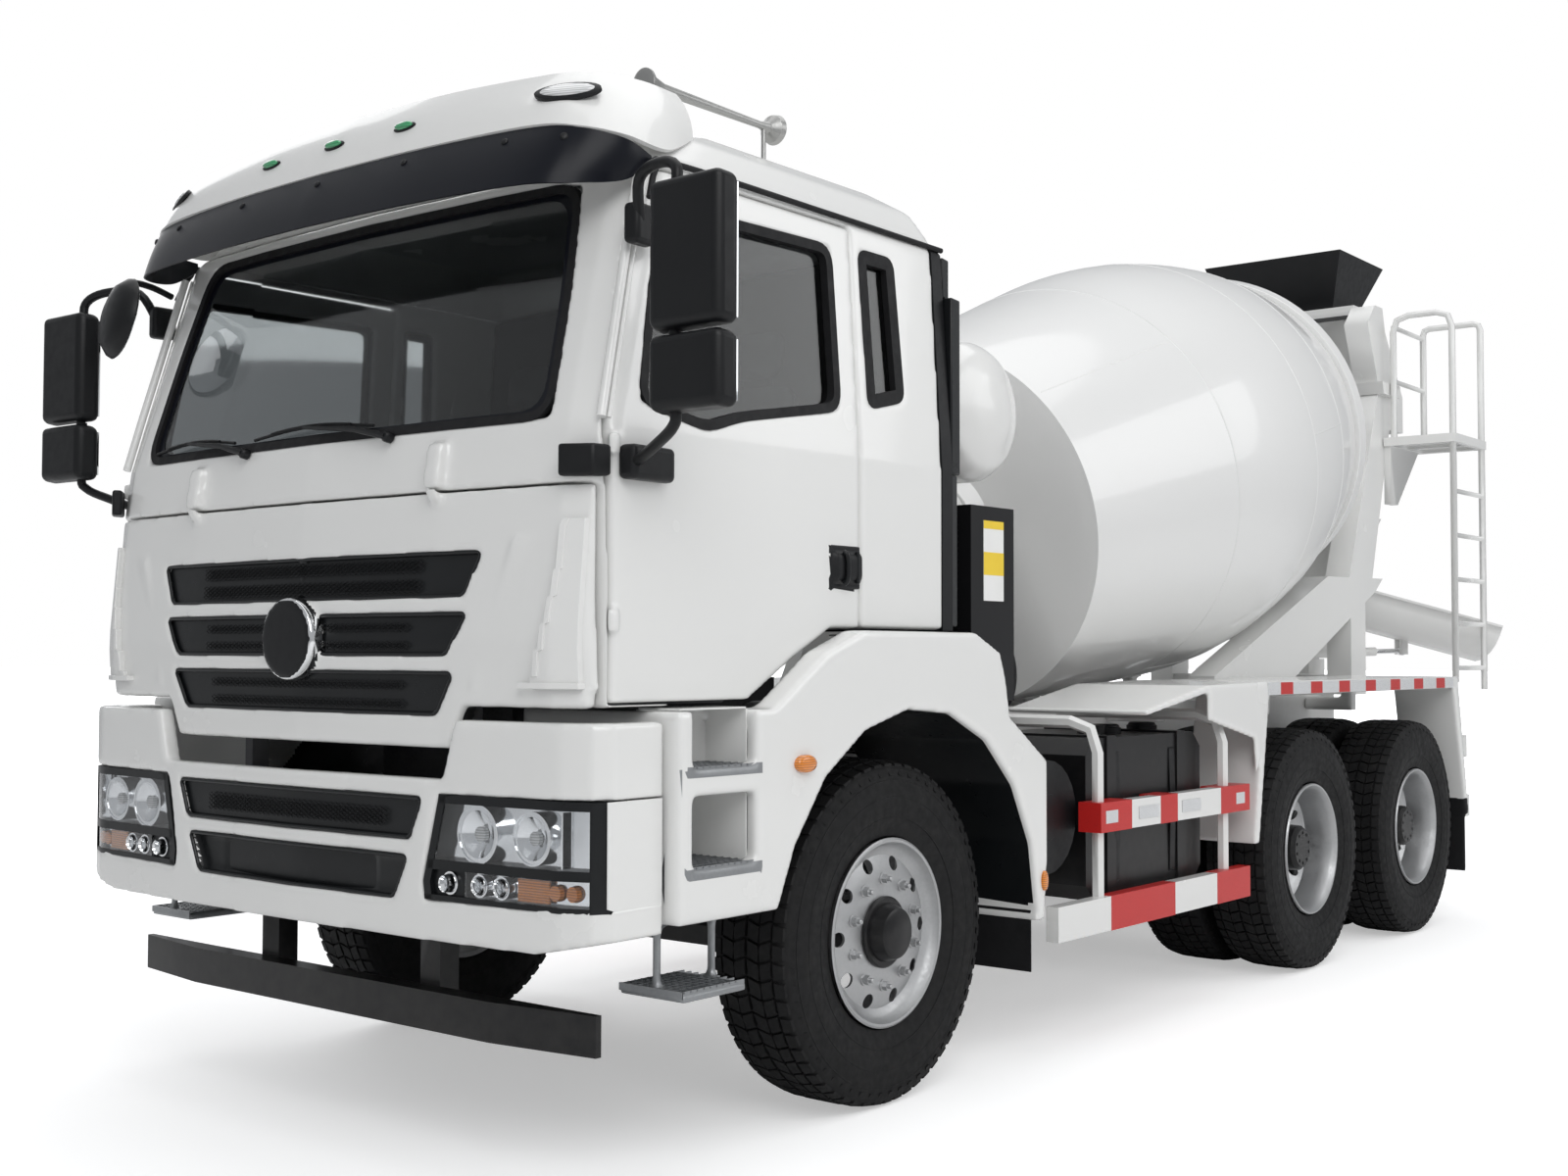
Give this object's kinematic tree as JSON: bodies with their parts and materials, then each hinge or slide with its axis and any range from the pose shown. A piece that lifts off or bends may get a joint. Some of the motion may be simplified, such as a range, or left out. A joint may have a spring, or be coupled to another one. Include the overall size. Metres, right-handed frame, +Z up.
{
  "type": "concrete mixer truck",
  "caption": "Three-axle truck with a tilting cab, turning mixing drum, loading hopper and swinging discharge chute, for carrying ready-mixed concrete.",
  "frame": {"origin": "on the ground under the middle of the overall length, on the truck centre line", "axes": "+Z up, -Y forwards, +X to the truck left"},
  "size_m": [3.2, 8.1762, 3.81],
  "materials": {
    "paint": "gloss",
    "dark_plastic": "textured matt",
    "dark_metal": "satin",
    "frame_metal": "satin",
    "tyre": "matt",
    "wheel": "silver satin",
    "steel": "machined",
    "glass": "clear tinted",
    "visor": "smoked gloss",
    "seat_cloth": "woven"
  },
  "bodies": {
    "chassis": {"chassis_frame": "frame_metal", "engine_block": "steel", "front_axle": "dark_metal", "rear_bogie": "dark_metal", "subframe": "paint", "rear_frame": "paint", "hopper_funnel": "dark_plastic", "hopper_guard": "paint", "collector_chute": "paint", "platform_ladder": "paint", "drum_drive": "paint", "water_tank": "paint", "oil_cooler": "dark_metal", "fuel_tank": "dark_plastic", "air_cleaner": "dark_plastic", "battery_box": "dark_plastic", "front_bumper": "paint", "rear_underrun_bar": "dark_metal", "headlamp_left": "glass", "headlamp_right": "glass", "step_fender_left": "paint", "step_fender_right": "paint", "rear_fender_left": "paint", "rear_fender_right": "paint", "side_guard_left": "paint", "side_guard_right": "paint"},
    "drum": {"mixer_drum": "paint"},
    "chute_swivel": {"chute_swivel": "paint"},
    "chute": {"main_chute": "paint"},
    "jack_barrel": {"jack_barrel": "steel"},
    "jack_rod": {"jack_rod": "steel"},
    "cab": {"cab_front": "paint", "cab_back": "paint", "cab_roof": "paint", "cab_floor": "dark_plastic", "windscreen": "glass", "dashboard": "dark_plastic", "roof_deflector": "paint", "sun_visor": "visor", "cab_side_left": "paint", "cab_side_right": "paint", "seat_left": "seat_cloth", "seat_right": "seat_cloth"},
    "front_panel": {"front_panel": "paint"},
    "roller_left": {"drum_roller_left": "steel"},
    "roller_right": {"drum_roller_right": "steel"},
    "door_left": {"door_left": "paint", "door_mirror_left": "dark_plastic"},
    "door_right": {"door_right": "paint", "door_mirror_right": "dark_plastic"},
    "knuckle_left": {"knuckle_left": "dark_metal"},
    "front_wheel_left": {"front_wheel_left": "wheel", "front_tyre_left": "tyre"},
    "knuckle_right": {"knuckle_right": "dark_metal"},
    "front_wheel_right": {"front_wheel_right": "wheel", "front_tyre_right": "tyre"},
    "rear_wheel_1_left": {"rear_wheel_1_left": "tyre"},
    "rear_wheel_1_right": {"rear_wheel_1_right": "tyre"},
    "rear_wheel_2_left": {"rear_wheel_2_left": "tyre"},
    "rear_wheel_2_right": {"rear_wheel_2_right": "tyre"}
  },
  "joints": [
    {"name": "drum_spin", "type": "hinge", "parent": "chassis", "child": "drum", "pos_m": [0, -0.71509, 1.962], "axis": [0, 0.9718, 0.236], "continuous": true},
    {"name": "roller_spin_left", "type": "hinge", "parent": "chassis", "child": "roller_left", "pos_m": [0.34783, 2.27022, 1.70354], "axis": [0, 0.9718, 0.236], "continuous": true},
    {"name": "roller_spin_right", "type": "hinge", "parent": "chassis", "child": "roller_right", "pos_m": [-0.34783, 2.27022, 1.70354], "axis": [0, 0.9718, 0.236], "continuous": true},
    {"name": "chute_swing", "type": "hinge", "parent": "chassis", "child": "chute_swivel", "pos_m": [0.15, 3.09191, 1.4], "axis": [0, 0, 1], "range_deg": [0, 100]},
    {"name": "chute_tilt", "type": "hinge", "parent": "chute_swivel", "child": "chute", "pos_m": [0.2303, 3.18108, 1.59], "axis": [0.7431, -0.6691, 0], "range_deg": [-12, 8]},
    {"name": "jack_swing", "type": "hinge", "parent": "chute_swivel", "child": "jack_barrel", "pos_m": [0.2303, 3.18108, 1.425], "axis": [0.7431, -0.6691, 0], "range_deg": [-14, 10]},
    {"name": "jack_stroke", "type": "slide", "parent": "jack_barrel", "child": "jack_rod", "axis": [0.6688, 0.7428, 0.0312], "range_m": [-0.04, 0.03]},
    {"name": "cab_tilt", "type": "hinge", "parent": "chassis", "child": "cab", "pos_m": [0, -3.92809, 0.95], "axis": [1, 0, 0], "range_deg": [0, 50]},
    {"name": "front_panel_lid", "type": "hinge", "parent": "cab", "child": "front_panel", "pos_m": [0, -4.03009, 1.858], "axis": [-1, 0, 0], "range_deg": [0, 75]},
    {"name": "door_hinge_left", "type": "hinge", "parent": "cab", "child": "door_left", "pos_m": [1.155, -3.90809, 1.9], "axis": [0, 0, -1], "range_deg": [0, 70]},
    {"name": "door_hinge_right", "type": "hinge", "parent": "cab", "child": "door_right", "pos_m": [-1.155, -3.90809, 1.9], "axis": [0, 0, 1], "range_deg": [0, 70]},
    {"name": "steer_left", "type": "hinge", "parent": "chassis", "child": "knuckle_left", "pos_m": [0.9, -2.62809, 0.54], "axis": [0, 0, 1], "range_deg": [-35, 35]},
    {"name": "front_wheel_spin_left", "type": "hinge", "parent": "knuckle_left", "child": "front_wheel_left", "pos_m": [0.985, -2.62809, 0.54], "axis": [1, 0, 0], "continuous": true},
    {"name": "steer_right", "type": "hinge", "parent": "chassis", "child": "knuckle_right", "pos_m": [-0.9, -2.62809, 0.54], "axis": [0, 0, 1], "range_deg": [-35, 35]},
    {"name": "front_wheel_spin_right", "type": "hinge", "parent": "knuckle_right", "child": "front_wheel_right", "pos_m": [-0.985, -2.62809, 0.54], "axis": [1, 0, 0], "continuous": true},
    {"name": "rear_wheel_spin_1_left", "type": "hinge", "parent": "chassis", "child": "rear_wheel_1_left", "pos_m": [0.895, 0.54691, 0.54], "axis": [1, 0, 0], "continuous": true},
    {"name": "rear_wheel_spin_1_right", "type": "hinge", "parent": "chassis", "child": "rear_wheel_1_right", "pos_m": [-0.895, 0.54691, 0.54], "axis": [1, 0, 0], "continuous": true},
    {"name": "rear_wheel_spin_2_left", "type": "hinge", "parent": "chassis", "child": "rear_wheel_2_left", "pos_m": [0.895, 1.89691, 0.54], "axis": [1, 0, 0], "continuous": true},
    {"name": "rear_wheel_spin_2_right", "type": "hinge", "parent": "chassis", "child": "rear_wheel_2_right", "pos_m": [-0.895, 1.89691, 0.54], "axis": [1, 0, 0], "continuous": true}
  ],
  "couplings": [
    {"joint": "roller_spin_left", "follows": "drum_spin", "ratio": -7.12},
    {"joint": "roller_spin_right", "follows": "drum_spin", "ratio": -7.12},
    {"joint": "jack_swing", "follows": "chute_tilt", "ratio": 1.003},
    {"joint": "jack_stroke", "follows": "chute_tilt", "m_per_rad": 0.1642},
    {"joint": "steer_right", "follows": "steer_left", "ratio": 1}
  ]
}
